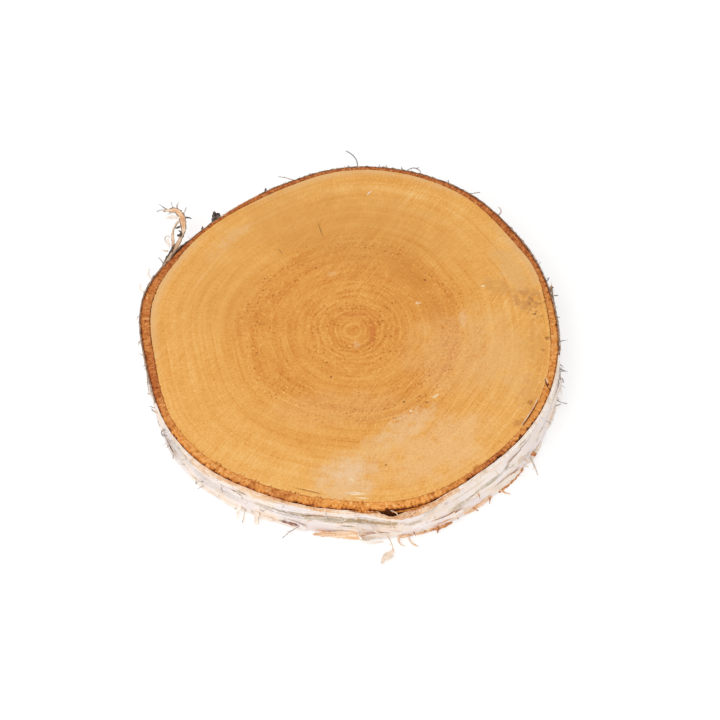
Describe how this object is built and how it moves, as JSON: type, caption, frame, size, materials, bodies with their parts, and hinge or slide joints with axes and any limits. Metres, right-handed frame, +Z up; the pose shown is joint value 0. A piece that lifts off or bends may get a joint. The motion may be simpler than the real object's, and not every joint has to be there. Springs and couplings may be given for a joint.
{
  "type": "birch wood slice",
  "caption": "Flat round slice of a birch trunk: ringed wood inside a reddish inner bark and a white paper bark with torn sheets, curls and fibres. Used as a rustic board or base.",
  "frame": {"origin": "the point where the pith meets the flat underside, taken straight below the ring centre of the top face", "axes": "+Z up, square to the sawn faces; +X to the right and +Y away from the viewer in the reference picture"},
  "size_m": [0.1974, 0.2141, 0.0209],
  "materials": {
    "birch_wood": "raw sawn end grain, dry and matt, with fine rings, pores and faint saw marks",
    "inner_bark": "raw, crumbly and matt, reddish brown",
    "paper_bark": "papery and matt, white to lilac white outside with grey patches, peach inside"
  },
  "bodies": {
    "root": {"wood": "birch_wood", "inner_bark": "inner_bark", "paper_bark": "paper_bark"}
  },
  "joints": []
}
